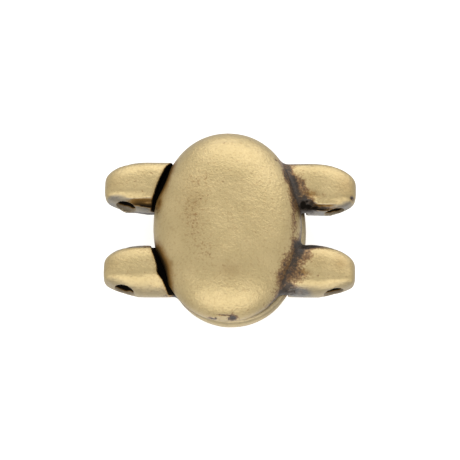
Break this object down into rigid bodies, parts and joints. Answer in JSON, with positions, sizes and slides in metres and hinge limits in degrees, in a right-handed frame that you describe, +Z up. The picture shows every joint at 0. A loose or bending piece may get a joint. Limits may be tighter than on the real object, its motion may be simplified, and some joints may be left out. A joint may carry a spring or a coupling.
{
  "type": "magnetic bracelet clasp",
  "caption": "Small cast magnetic clasp: two pillow-shaped oval halves held face to face by disc magnets, each with a pair of thread loops on one side.",
  "frame": {"origin": "centre of the bounding box, on the surface that the closed clasp lies on", "axes": "+X towards the thread loops of the upper half, +Y along the oval's long axis, +Z up through both halves"},
  "size_m": [0.017, 0.0134, 0.0062],
  "materials": {
    "casting": "satin antique brass plating, dark in the recesses",
    "magnet": "bright nickel plating on a sintered magnet"
  },
  "bodies": {
    "lower": {"lower_half": "casting", "lower_magnet": "magnet"},
    "upper": {"upper_half": "casting", "upper_magnet": "magnet"}
  },
  "joints": [
    {"name": "pull_open", "type": "slide", "parent": "lower", "child": "upper", "axis": [0, 0, 1], "range_m": [0, 0.01]}
  ]
}
